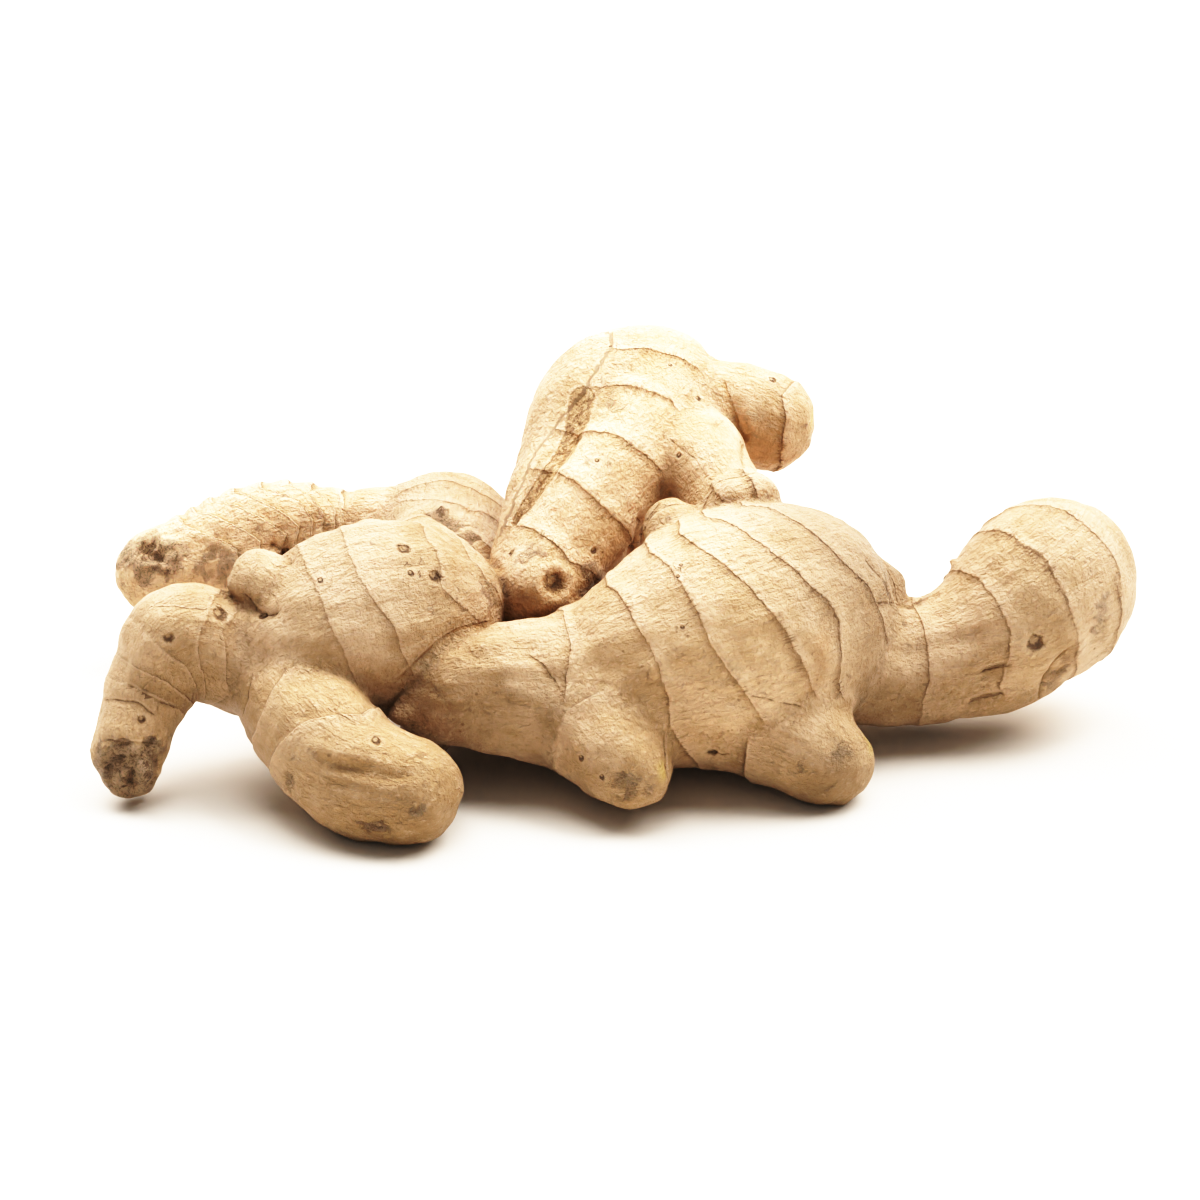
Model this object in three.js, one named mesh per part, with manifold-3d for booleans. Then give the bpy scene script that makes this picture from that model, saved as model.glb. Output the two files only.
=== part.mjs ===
// Ginger root: one hand of ginger lying on its underside, grown as a single rhizome.
// Millimetres, +Z up, resting on z = 0, X along the length of the hand.
import * as THREE from 'three';
import Module from 'manifold-3d';

// ---- driving dimensions ----------------------------------------------------------------
const RING_LIP = 0.8;        // how proud the skin stands at a node ring
const RING_GROOVE = 0.5;     // depth of the groove just past the ring
const RING_RISE = 2.2;       // length over which the skin swells towards the ring
const RING_FALL = 1.0;       // length over which it drops into the groove
const SKIN_STEP = 7;         // longest plain stretch of skin between two sections
const FACET = 5.5;           // wanted width of a facet round a lobe
const LUMP = 0.022;          // unevenness of a lobe's girth, as a share of its radius
const REST_CUT = 12;         // thickness of the block that trims the resting spots flat
const HAND_LENGTH = 260;     // size of that block, over the whole hand
const SKIN_COLOUR = 0xdcc096;

// ---- the lobes -------------------------------------------------------------------------
// Each lobe is a row of girths along its axis: [x, y, z, radius].
// rings: node rings, as distances along the axis from the first girth; a distance past the
// last girth lies on the rounded end. lean: how far rings tip back at the top, at the start
// and at the end of the lobe. root: the first end is buried in the lobe it grew from.
// relief: share of the full ring height, where rings crowd together as fine wrinkles.
const lobes = {
  leftPalm: {
    girths: [[-77, -21, 19.5, 7.5], [-70, -22, 22.5, 10.5], [-60.5, -20, 28, 18],
      [-48, -16, 30.5, 20.5], [-40, -12, 31, 16.5]],
    rings: [21.5, 32, 41, 49.5, 55.5], lean: [0, 0.3],
  },
  leftArm: {
    girths: [[-72, -21, 19, 8.5], [-80, -22, 24.5, 11], [-88.5, -24, 29, 12],
      [-94, -27.5, 23.5, 9.5], [-97.5, -32, 17.5, 8], [-99.5, -36.5, 11.5, 7.5],
      [-99.5, -39.5, 7.5, 6]],
    rings: [8.5, 14, 24, 30, 34, 39.5], lean: [0, 0], root: true, relief: 0.7,
  },
  leftFinger: {
    girths: [[-67, -30, 20, 11.5], [-61, -41, 16.5, 12], [-53.5, -49.5, 12.1, 12],
      [-45, -53, 10.4, 11.3], [-41.5, -54, 10.2, 10.4]],
    rings: [3, 10], lean: [0, 0], root: true,
  },
  leftBud: {
    girths: [[-64, -18, 31, 7.5], [-70, -20, 38, 7.2], [-74, -20, 41, 6]],
    rings: [5, 9], lean: [0, 0], root: true,
  },
  leftNub: {
    girths: [[-36.5, -26, 15.5, 7], [-40, -24, 7.5, 5.5], [-40.5, -23, 6, 5]],
    rings: [], lean: [0, 0], root: true,
  },
  core: {
    girths: [[-44, -10, 22, 13], [-32, -9, 16, 11.5], [-20, -8, 13, 10], [-4, -12, 17, 13]],
    rings: [16], lean: [0, 0], root: true,
  },
  frontPalm: {
    girths: [[-37, -30, 19, 9], [-30, -30, 21, 11.5], [-20, -29, 20.5, 14], [-8.5, -26, 18.5, 16.5],
      [1.5, -24, 20.5, 19], [13, -22, 24.5, 23], [25.5, -18, 28.5, 26], [35.5, -12, 30.5, 22],
      [43, -6, 30, 14.5], [51.5, -2, 30, 8.5], [56.5, 1, 30, 4.5]],
    rings: [3, 27.5, 46, 60, 71, 82, 93], lean: [-0.1, 0.4],
  },
  rightFinger: {
    girths: [[38.5, -14, 22, 14.5], [49, -10, 19, 14], [60, -8, 16.5, 13], [70.5, -7, 18.5, 13],
      [81.5, -4, 22.8, 15.8], [89.8, 2, 27.7, 18.6], [92, 6, 28, 18.5]],
    rings: [28.5, 41, 57, 68.5], lean: [-0.15, -0.2], root: true,
  },
  rightKnob: {
    girths: [[66.5, -7, 15, 11.3], [77.5, -6, 15.7, 11.6], [84.2, -6, 14.5, 9],
      [87.2, -6, 14, 7.3]],
    rings: [20], lean: [0, 0], root: true,
  },
  frontFingerLeft: {
    girths: [[-5, -30, 17, 13], [-1.5, -38.5, 14.5, 12], [2, -45.5, 11.8, 8.8], [3.5, -48, 10.9, 6.8]],
    rings: [9], lean: [0, 0], root: true,
  },
  frontFingerRight: {
    girths: [[26, -27, 16, 14.5], [35, -33.5, 12.7, 12], [42, -36.5, 8.6, 9.8],
      [44, -38, 8.7, 8.5]],
    rings: [10], lean: [0, 0], root: true,
  },
  frontBud: {
    girths: [[17, -9, 39, 9], [13.5, -6, 44, 7.5], [11, -4.5, 46.5, 6]],
    rings: [3, 7], lean: [0, 0], root: true,
  },
  neck: {
    girths: [[25, -1, 43, 9.5], [22.6, 7, 47.6, 9], [18.1, 17, 50.9, 10.1], [13.7, 27, 51.2, 11.1]],
    rings: [], lean: [0, 0], root: true,
  },
  neckBud: {
    girths: [[20.5, -4, 48.5, 4.5], [24, -2.5, 51.5, 5.7], [28, -0.8, 52.2, 5.3],
      [29.8, -0.4, 51.2, 4.6]],
    rings: [3, 8], lean: [0, 0], root: true,
  },
  backFinger: {
    girths: [[28.5, 4, 25.5, 15], [34.5, 17, 20, 13], [39, 28, 14, 11], [41, 36, 8.8, 9.3]],
    rings: [13, 24], lean: [0, 0], root: true,
  },
  upperLobe: {
    girths: [[-16, -5.5, 32.2, 10.2], [-11.3, 2.5, 37.4, 10.6], [-4.5, 12, 44, 12.8],
      [2.1, 22.5, 49.8, 14.7], [6.7, 34, 54.2, 16.3], [8.2, 40, 56.4, 16.3]],
    rings: [4, 12, 21, 33, 44.5, 54], lean: [0, -0.1],
  },
  upperTwin: {
    girths: [[-20.5, 2, 34, 6.5], [-17.1, 12, 43.4, 7.1], [-11.6, 23, 50.4, 9.1],
      [-6, 31, 56.3, 12.3], [-1, 37, 60.4, 12.7]],
    rings: [], lean: [0, 0], root: true,
  },
  upperFinger: {
    girths: [[15.8, 37, 57.7, 10.2], [26.9, 38, 55, 10.7], [33.4, 38, 52.3, 10.1]],
    rings: [6, 23], lean: [0, 0], root: true,
  },
  backLink: {
    girths: [[-43, -6, 26, 16], [-39.5, 10, 24, 16.5], [-37.5, 26, 23, 15.5], [-37.5, 40, 22.5, 16]],
    rings: [17, 32, 43], lean: [0, 0], root: true,
  },
  backFingerLeft: {
    girths: [[-41, 40, 22, 10], [-50, 40, 25, 9.5], [-60.5, 40, 25.5, 8.5], [-71, 39, 24.5, 12],
      [-82, 36, 23.6, 12.6], [-92.5, 31, 22.3, 10.4], [-101.2, 27.5, 21.5, 8.7]],
    rings: [19, 26, 31, 36, 41, 46, 51, 56], lean: [0, 0], root: true, relief: 0.6,
  },
  backFoot: {
    girths: [[-41.5, 40, 18.5, 11], [-39.5, 52, 13, 11], [-39, 57, 8.5, 9.2]],
    rings: [9], lean: [0, 0], root: true,
  },
  backStub: {
    girths: [[-36, 42, 22, 12], [-24, 48, 18, 10], [-18, 51, 16, 8.5]],
    rings: [12], lean: [0, 0], root: true,
  },
};

// ---- a lobe's axis ---------------------------------------------------------------------
const PER_SPAN = 6;
function smoothRow(girths) {
  const at = (i) => {
    if (i < 0) return girths[0].map((v, j) => 2 * v - girths[1][j]);
    if (i >= girths.length) {
      const last = girths[girths.length - 1];
      return last.map((v, j) => 2 * v - girths[girths.length - 2][j]);
    }
    return girths[i];
  };
  const row = [];
  for (let i = 0; i + 1 < girths.length; i++) {
    const [a, b, c, d] = [at(i - 1), at(i), at(i + 1), at(i + 2)];
    for (let k = 0; k < PER_SPAN; k++) {
      const t = k / PER_SPAN;
      row.push(b.map((_, j) => 0.5 * (2 * b[j] + (c[j] - a[j]) * t
        + (2 * a[j] - 5 * b[j] + 4 * c[j] - d[j]) * t * t
        + (3 * b[j] - a[j] - 3 * c[j] + d[j]) * t * t * t)));
    }
  }
  row.push(girths[girths.length - 1]);
  return row;
}

class Axis {
  constructor(girths) {
    this.row = smoothRow(girths);
    this.along = [0];
    for (let i = 1; i < this.row.length; i++) {
      const [p, q] = [this.row[i - 1], this.row[i]];
      this.along.push(this.along[i - 1] + Math.hypot(q[0] - p[0], q[1] - p[1], q[2] - p[2]));
    }
    this.length = this.along[this.along.length - 1];
    this.first = this.row[0][3];
    this.last = this.row[this.row.length - 1][3];
  }

  // centre and radius at a distance along the axis
  at(s) {
    const held = Math.min(Math.max(s, 0), this.length);
    let i = 1;
    while (i < this.along.length - 1 && this.along[i] < held) i++;
    const t = (held - this.along[i - 1]) / (this.along[i] - this.along[i - 1]);
    const mix = this.row[i].map((v, j) => this.row[i - 1][j] * (1 - t) + v * t);
    return { centre: new THREE.Vector3(mix[0], mix[1], mix[2]), radius: mix[3] };
  }

  frame(s) {
    const held = Math.min(Math.max(s, 0.8), this.length - 0.8);
    const forward = this.at(held + 0.8).centre.sub(this.at(held - 0.8).centre).normalize();
    const up = new THREE.Vector3(0, 0, 1).addScaledVector(forward, -forward.z).normalize();
    const side = new THREE.Vector3().crossVectors(forward, up);
    return { forward, up, side };
  }

  // distance from the axis to the skin, with a rounded end past either end of the axis
  reach(s) {
    if (s < 0) return Math.sqrt(Math.max(this.first ** 2 - s ** 2, 0));
    if (s > this.length) return Math.sqrt(Math.max(this.last ** 2 - (s - this.length) ** 2, 0));
    return this.at(s).radius;
  }
}

// ---- the skin over a lobe --------------------------------------------------------------
function ringHeight(x) {
  if (x <= 0) return x > -RING_RISE ? RING_LIP * (1 + x / RING_RISE) : 0;
  if (x < RING_FALL) return RING_LIP - (RING_LIP + RING_GROOVE) * (x / RING_FALL);
  const healed = (x - RING_FALL) / RING_RISE;
  return healed < 1 ? -RING_GROOVE * (1 - healed) : 0;
}

function skinPoint(axis, lobe, s, angle) {
  const share = Math.min(Math.max(s / axis.length, 0), 1);
  const lean = lobe.lean[0] * (1 - share) + lobe.lean[1] * share;
  const tipped = s - lean * axis.reach(s) * Math.sin(angle);
  const held = Math.min(Math.max(tipped, -axis.first * 0.98), axis.length + axis.last * 0.98);
  const { centre } = axis.at(held);
  const { forward, up, side } = axis.frame(held);
  const past = held < 0 ? held : Math.max(held - axis.length, 0);
  const height = lobe.rings.reduce((sum, ring) => sum + ringHeight(s - ring), 0);
  const relief = height * (lobe.relief ?? 1);
  const girth = axis.reach(held);
  const lump = LUMP * (Math.sin(2 * angle + s / 13) + 0.7 * Math.sin(3 * angle - s / 9));
  const out = girth * (1 + lump) + relief * Math.min(girth / 6, 1);
  return centre
    .addScaledVector(forward, past)
    .addScaledVector(side, out * Math.cos(angle))
    .addScaledVector(up, out * Math.sin(angle));
}

// where the sections stand: three at each node ring, the rest spread evenly between them
function sectionPlaces(axis, lobe) {
  const start = lobe.root ? -axis.first * 0.6 : -axis.first * 0.94;
  const end = axis.length + axis.last * 0.94;
  const fixed = [start, end, axis.length + axis.last * 0.38, axis.length + axis.last * 0.72];
  if (!lobe.root) fixed.push(-axis.first * 0.38, -axis.first * 0.72);
  const nearRing = (s) => lobe.rings.some((ring) => Math.abs(s - ring) < RING_RISE * 1.4);
  const places = fixed.filter((s) => s === start || s === end || !nearRing(s));
  for (const ring of lobe.rings) places.push(ring - RING_RISE, ring, ring + RING_FALL);
  places.sort((a, b) => a - b);
  const kept = [places[0]];
  for (const s of places.slice(1)) {
    const gap = s - kept[kept.length - 1];
    if (gap < 0.55) continue;
    const extra = Math.floor(gap / SKIN_STEP);
    const from = kept[kept.length - 1];
    for (let k = 1; k <= extra; k++) kept.push(from + (gap * k) / (extra + 1));
    kept.push(s);
  }
  return kept.filter((s) => s <= end);
}

function lobeSurface(lobe) {
  const axis = new Axis(lobe.girths);
  const widest = Math.max(...lobe.girths.map((g) => g[3]));
  const sides = Math.min(Math.max(Math.round((2 * Math.PI * widest) / FACET), 12), 28);
  const places = sectionPlaces(axis, lobe);
  const points = [];
  const faces = [];
  for (const s of places) {
    for (let i = 0; i < sides; i++) points.push(skinPoint(axis, lobe, s, (2 * Math.PI * i) / sides));
  }
  for (let k = 0; k + 1 < places.length; k++) {
    for (let i = 0; i < sides; i++) {
      const [a, b] = [k * sides + i, k * sides + ((i + 1) % sides)];
      const [c, d] = [a + sides, b + sides];
      if ((i + k) % 2) faces.push([a, c, b], [b, c, d]);
      else faces.push([a, d, b], [a, c, d]);
    }
  }
  const capPoint = (s) => axis.at(s).centre.addScaledVector(axis.frame(s).forward,
    s > 0 ? axis.last : -axis.first * (lobe.root ? 0.75 : 1));
  const first = points.push(capPoint(0)) - 1;
  const last = points.push(capPoint(axis.length)) - 1;
  const top = (places.length - 1) * sides;
  for (let i = 0; i < sides; i++) {
    const j = (i + 1) % sides;
    faces.push([first, i, j], [last, top + j, top + i]);
  }
  return { points, faces };
}

// ---- joining ---------------------------------------------------------------------------
const wasm = await Module();
wasm.setup();

function solidOf({ points, faces }) {
  const vertProperties = new Float32Array(points.flatMap((p) => [p.x, p.y, p.z]));
  const triVerts = new Uint32Array(faces.flat());
  return new wasm.Manifold(new wasm.Mesh({ numProp: 3, vertProperties, triVerts }));
}

// the surface the hand rests on, which trims its lowest spots flat
function restingBlock() {
  const box = new THREE.BoxGeometry(HAND_LENGTH, HAND_LENGTH, REST_CUT);
  box.translate(0, 0, -REST_CUT / 2);
  const corners = [];
  const index = [];
  const place = box.attributes.position;
  for (let i = 0; i < place.count; i++) {
    const p = new THREE.Vector3().fromBufferAttribute(place, i);
    let at = corners.findIndex((q) => q.distanceTo(p) < 1e-6);
    if (at < 0) at = corners.push(p) - 1;
    index.push(at);
  }
  const faces = [];
  for (let i = 0; i < box.index.count; i += 3) {
    faces.push([0, 1, 2].map((k) => index[box.index.getX(i + k)]));
  }
  return solidOf({ points: corners, faces });
}

function geometryOf(solid) {
  const mesh = solid.getMesh();
  const geometry = new THREE.BufferGeometry();
  geometry.setAttribute('position', new THREE.BufferAttribute(mesh.vertProperties, 3));
  geometry.setIndex(new THREE.BufferAttribute(mesh.triVerts, 1));
  geometry.computeVertexNormals();
  return geometry;
}

const grown = wasm.Manifold.union(Object.values(lobes).map((lobe) => solidOf(lobeSurface(lobe))));
const rested = grown.subtract(restingBlock());

const skin = new THREE.MeshStandardMaterial({ color: SKIN_COLOUR, roughness: 0.72, metalness: 0 });
skin.name = 'skin';
const rhizome = new THREE.Mesh(geometryOf(rested), skin);
rhizome.name = 'rhizome';

const ginger = new THREE.Group();
ginger.name = 'ginger_root';
ginger.add(rhizome);

export default ginger;
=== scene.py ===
"""Looks of the ginger root: one hand of ginger lying on a white surface, in metres, in the CAD's frame.
Lengths in the tables are millimetres, and pixels are those of the 1200 by 1200 frame."""
import math

import bpy
import numpy as np
from mathutils import Matrix, Vector


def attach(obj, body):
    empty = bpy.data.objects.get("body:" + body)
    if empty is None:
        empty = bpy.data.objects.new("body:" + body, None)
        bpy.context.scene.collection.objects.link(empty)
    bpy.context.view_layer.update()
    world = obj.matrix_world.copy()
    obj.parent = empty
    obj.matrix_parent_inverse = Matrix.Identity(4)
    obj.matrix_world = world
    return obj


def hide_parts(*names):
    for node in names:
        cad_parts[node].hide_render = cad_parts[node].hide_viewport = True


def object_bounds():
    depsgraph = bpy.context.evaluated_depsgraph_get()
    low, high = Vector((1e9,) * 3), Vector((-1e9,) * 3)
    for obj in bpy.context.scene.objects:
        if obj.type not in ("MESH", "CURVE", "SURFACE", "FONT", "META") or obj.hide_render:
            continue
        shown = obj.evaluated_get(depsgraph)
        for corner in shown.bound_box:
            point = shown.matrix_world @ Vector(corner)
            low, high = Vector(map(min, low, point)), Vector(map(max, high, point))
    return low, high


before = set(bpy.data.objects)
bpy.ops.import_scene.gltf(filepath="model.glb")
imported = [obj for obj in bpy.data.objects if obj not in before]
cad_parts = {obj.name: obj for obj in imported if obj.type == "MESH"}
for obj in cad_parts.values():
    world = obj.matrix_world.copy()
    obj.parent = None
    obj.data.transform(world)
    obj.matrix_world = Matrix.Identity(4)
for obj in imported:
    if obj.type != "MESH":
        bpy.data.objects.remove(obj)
CAD_LOW, CAD_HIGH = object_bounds()

# ---- camera ----
VIEW_DOWN = math.radians(25)          # how far the camera looks down
CAMERA_AWAY = 800.0                   # from the aim point
AIM = np.array([-3.5, -6.0, 30.0])    # what the middle of the frame looks at
FRAME_PX, SENSOR = 1200, 36.0
PX_SIZE = 0.21                        # one pixel of the frame at the aim point
RIGHT = np.array([1.0, 0.0, 0.0])
AHEAD = np.array([0.0, math.cos(VIEW_DOWN), -math.sin(VIEW_DOWN)])
ABOVE = np.array([0.0, math.sin(VIEW_DOWN), math.cos(VIEW_DOWN)])
EYE = AIM - CAMERA_AWAY * AHEAD

# ---- the lobes: axis points with the radius there, as in the CAD ----
# blend is how softly a lobe flows into the others of its group. tone is how light its skin is from its start
# to its end, partly its own paleness and partly painted light and shade; gold is how yellow it is, along the
# same way. lean tilts its rings as in the CAD, bold is how strongly they show and lip how high their edges
# stand. yields makes a lobe leave shared skin to its neighbour, in millimetres. A ring is a distance along
# the axis, and where the photograph shows it, a few pixels that its line passes through.
LOBES = {
    "left_palm": dict(
        group="left", bold=0.55, tone_and_painted_light=(0.78, 0.76, 0.75), blend=4, lean=(0, 0.3),
        girths=[(-77, -21, 19.5, 7.5), (-70, -22, 22.5, 10.5), (-60.5, -20, 28, 18), (-48, -16, 30.5, 20.5),
                (-40, -12, 31, 16.5)],
        rings=[(21.5, [(334, 628), (344, 651), (353, 675), (362, 704), (369, 725)]),
               (32, [(355, 578), (369, 596), (385, 615), (396, 635), (400, 650)]),
               (49.5, [(442, 589), (462, 606), (484, 625)]),
               (55.5, [(483, 576), (496, 592), (502, 611)])]),
    "left_arm": dict(
        group="left", bold=0.5, lip=0.8, tone_and_painted_light=(0.74, 0.8), gold=(0.1, 0.5), blend=5,
        girths=[(-72, -21, 19, 8.5), (-80, -22, 24.5, 11), (-88.5, -24, 29, 12),
                (-94, -27.5, 23.5, 9.5), (-97.5, -32, 17.5, 8), (-99.5, -36.5, 11.5, 7.5),
                (-99.5, -39.5, 7.5, 6)],
        rings=[(8.5, [(220, 631), (227, 661), (230, 695)]), (14, [(197, 649), (201, 670), (206, 697)]),
               (24, None), (30, None), (34, None)]),
    "left_finger": dict(
        group="left", tone_and_painted_light=(0.8, 0.74), gold=(0.4, 0.9), blend=3,
        girths=[(-67, -30, 20, 11.5), (-61, -41, 16.5, 12), (-53.5, -49.5, 12.1, 12),
                (-45, -53, 10.4, 11.3), (-41.5, -54, 10.2, 10.4)],
        rings=[(3, [(287, 670), (280, 681), (264, 707), (257, 729)]),
               (11, [(282, 743), (307, 720), (335, 714), (360, 716)])]),
    "left_bud": dict(
        group="left", tone_and_painted_light=(0.82,), blend=0.8,
        girths=[(-64, -18, 31, 7.5), (-70, -20, 38, 7.2), (-74, -20, 41, 6)],
        rings=[(5, None), (9, None)]),
    "left_nub": dict(
        group="left", tone_and_painted_light=(0.7,), gold=(0.5, 0.7), blend=1.5,
        girths=[(-36.5, -26, 15.5, 7), (-40, -24, 7.5, 5.5), (-40.5, -23, 6, 5)], rings=[]),
    "core": dict(
        group="left", tone_and_painted_light=(0.8,), blend=4,
        girths=[(-44, -10, 22, 13), (-32, -9, 16, 11.5), (-20, -8, 13, 10), (-4, -12, 17, 13)], rings=[]),
    "back_link": dict(
        group="left", bold=0.6, tone_and_painted_light=(0.8, 0.72), blend=5,
        girths=[(-43, -6, 26, 16), (-39.5, 10, 24, 16.5), (-37.5, 26, 23, 15.5), (-37.5, 40, 22.5, 16)],
        rings=[(17, None), (32, [(381, 509), (397, 502), (416, 500), (443, 504), (470, 509), (496, 517)]),
               (43, None)]),
    "back_finger_left": dict(
        group="left", bold=1.4, lip=1.1, tone_and_painted_light=(0.85, 1.02, 1.08), blend=2.5,
        girths=[(-41, 40, 22, 10), (-50, 40, 25, 9.5), (-60.5, 40, 25.5, 8.5), (-71, 39, 24.5, 12),
                (-82, 36, 23.6, 12.6), (-92.5, 31, 22.3, 10.4), (-101.2, 27.5, 21.5, 8.7)],
        rings=[(19, None), (24, [(312, 489), (328, 498), (338, 511)]),
               (29, [(287, 486), (311, 496), (325, 515)]), (34, [(262, 490), (298, 501), (314, 520)]),
               (39, [(236, 494), (265, 503), (300, 527)]), (44, [(214, 501), (250, 511), (287, 534)]),
               (50, [(196, 510), (225, 520), (262, 541)]), (56, [(186, 522), (205, 532), (240, 550)])]),
    "back_foot": dict(
        group="left", tone_and_painted_light=(0.8,), blend=3,
        girths=[(-41.5, 40, 18.5, 11), (-39.5, 52, 13, 11), (-39, 57, 8.5, 9.2)], rings=[(9, None)]),
    "back_stub": dict(
        group="left", tone_and_painted_light=(0.75,), blend=2.5,
        girths=[(-36, 42, 22, 12), (-24, 48, 18, 10), (-18, 51, 16, 8.5)], rings=[(12, None)]),
    "front_palm": dict(
        group="front", bold=0.85, tone_and_painted_light=(0.76, 0.76, 0.92, 0.98, 0.59, 0.58), blend=5, lean=(-0.1, 0.4),
        girths=[(-37, -30, 19, 9), (-30, -30, 21, 11.5), (-20, -29, 20.5, 14), (-8.5, -26, 18.5, 16.5),
                (1.5, -24, 20.5, 19), (13, -22, 24.5, 23), (25.5, -18, 28.5, 26), (35.5, -12, 30.5, 22),
                (43, -6, 30, 14.5), (51.5, -2, 30, 8.5), (56.5, 1, 30, 4.5)],
        rings=[(27.5, [(563, 612), (571, 648), (565, 675), (564, 701), (551, 744)]),
               (46, [(610, 586), (625, 601), (645, 636), (658, 667), (668, 699), (670, 728)]),
               (60, [(650, 556), (670, 568), (686, 589), (698, 615), (708, 644)]),
               (71, [(680, 537), (702, 549), (721, 562), (743, 583), (765, 606), (783, 632), (796, 656)]),
               (82, [(702, 518), (733, 524), (756, 537), (777, 556), (803, 577), (827, 600), (838, 621),
                     (840, 656), (839, 690)]),
               (93, [(742, 505), (768, 509), (791, 518), (809, 530), (832, 550), (856, 571), (873, 587)])]),
    "right_finger": dict(
        group="front", bold=0.75, tone_and_painted_light=(0.64, 0.7, 0.84, 0.78), blend=4, lean=(-0.15, -0.2),
        girths=[(38.5, -14, 22, 14.5), (49, -10, 19, 14), (60, -8, 16.5, 13), (70.5, -7, 18.5, 13),
                (81.5, -4, 22.8, 15.8), (89.8, 2, 27.7, 18.6), (92, 6, 28, 18.5)],
        rings=[(28.5, [(915, 609), (923, 627), (927, 650), (929, 680), (922, 700)]),
               (41, [(962, 573), (979, 580), (991, 597), (1003, 621), (1008, 636), (1007, 656), (1000, 685)]),
               (57, [(1014, 540), (1032, 550), (1047, 565), (1061, 588), (1070, 612), (1076, 636),
                     (1075, 656)]),
               (68.5, [(1041, 508), (1061, 512), (1082, 524), (1100, 542), (1114, 565), (1121, 588),
                       (1121, 612), (1115, 636)])]),
    "right_knob": dict(
        group="front", tone_and_painted_light=(0.85,), gold=(0.4, 0.8), blend=3,
        girths=[(66.5, -7, 15, 11.3), (77.5, -6, 15.7, 11.6), (84.2, -6, 14.5, 9), (87.2, -6, 14, 7.3)],
        rings=[]),
    "front_finger_left": dict(
        group="front", tone_and_painted_light=(0.92, 0.8), gold=(0.05, 0.45), blend=5,
        girths=[(-5, -30, 17, 13), (-1.5, -38.5, 14.5, 12), (2, -45.5, 11.8, 8.8), (3.5, -48, 10.9, 6.8)],
        rings=[(9, None)]),
    "front_finger_right": dict(
        group="front", tone_and_painted_light=(0.92, 0.7), gold=(0.05, 0.45), blend=5,
        girths=[(26, -27, 16, 14.5), (35, -33.5, 12.7, 12), (42, -36.5, 8.6, 9.8), (44, -38, 8.7, 8.5)],
        rings=[(10, None)]),
    "front_bud": dict(
        group="front", tone_and_painted_light=(0.86,), gold=(0.2, 0.4), blend=1.5,
        girths=[(17, -9, 39, 9), (13.5, -6, 44, 7.5), (11, -4.5, 46.5, 6)], rings=[(3, None), (7, None)]),
    "back_finger": dict(
        group="front", tone_and_painted_light=(0.85,), blend=4,
        girths=[(28.5, 4, 25.5, 15), (34.5, 17, 20, 13), (39, 28, 14, 11), (41, 36, 8.8, 9.3)],
        rings=[(13, None), (24, None)]),
    "neck": dict(
        group="upper", tone_and_painted_light=(1.0, 1.1), blend=2,
        girths=[(25, -1, 43, 9.5), (22.6, 7, 47.6, 9), (18.1, 17, 50.9, 10.1), (13.7, 27, 51.2, 11.1)],
        rings=[]),
    "neck_bud": dict(
        group="upper", tone_and_painted_light=(0.92,), blend=1,
        girths=[(20.5, -4, 48.5, 4.5), (24, -2.5, 51.5, 5.7), (28, -0.8, 52.2, 5.3), (29.8, -0.4, 51.2, 4.6)],
        rings=[(3, None), (8, None)]),
    "upper_lobe": dict(
        group="upper", bold=0.85, lip=1.2, tone_and_painted_light=(0.9, 1.2, 1.22, 1.24), blend=2, lean=(0, -0.1),
        girths=[(-16, -5.5, 32.2, 10.2), (-11.3, 2.5, 37.4, 10.6), (-4.5, 12, 44, 12.8),
                (2.1, 22.5, 49.8, 14.7), (6.7, 34, 54.2, 16.3), (8.2, 40, 56.4, 16.3)],
        rings=[(12, [(526, 528), (544, 536), (560, 547), (570, 562)]),
               (21, [(558, 474), (572, 481), (586, 492), (602, 506), (618, 520), (627, 531)]),
               (33, [(574, 435), (595, 434), (613, 435), (632, 445), (650, 458), (664, 472), (674, 490)]),
               (44.5, [(599, 387), (622, 385), (645, 389), (673, 400), (691, 419), (705, 435), (711, 447)]),
               (54, [(618, 349), (645, 350), (671, 356), (698, 367), (719, 387), (728, 400), (733, 423),
                     (741, 443)])]),
    "upper_twin": dict(
        group="upper", tone_and_painted_light=(1.08, 1.14), blend=5, yields=6,
        girths=[(-20.5, 2, 34, 6.5), (-17.1, 12, 43.4, 7.1), (-11.6, 23, 50.4, 9.1), (-6, 31, 56.3, 12.3),
                (-1, 37, 60.4, 12.7)],
        rings=[]),
    "upper_finger": dict(
        group="upper", tone_and_painted_light=(1.12, 1.04), gold=(0.3, 0.5), blend=1.5,
        girths=[(15.8, 37, 57.7, 10.2), (26.9, 38, 55, 10.7), (33.4, 38, 52.3, 10.1)],
        rings=[(23, [(781, 396), (785, 419), (783, 442), (779, 466)])]),
}
GROUP_BLEND = 1.0        # how softly one group meets another: small, so a crease stays
CELL, QUICK_CELL = 1.0, 2.0     # size of the skin's mesh
FAR = 9.0                # past this distance a lobe plays no part
ROOM = 3.3               # room round the CAD's box that the mesh is looked for in
INSIDE = 0.02            # how far the finished skin stays inside that box
END_GAP = 14.0           # room before the first ring of a lobe and past its last
SPINE_STEPS = 6          # spheres from one axis point to the next
TANGENT_HALF = 0.8       # half the length of axis that gives its direction at a place
PLACE_SOFT = 0.9         # over what distance neighbouring spheres share in a point's place along the axis
RAY_START, RAY_STEPS, RAY_SHARE = 130, 90, 0.8   # before the aim point; steps, and the share of the way taken
HIT = 0.6                # a ray that ends nearer to the body than this has met it


def step(x, low, high):
    """0 below low and 1 above high, smooth between them."""
    t = np.clip((x - low) / (high - low), 0, 1)
    return t * t * (3 - 2 * t)


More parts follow.
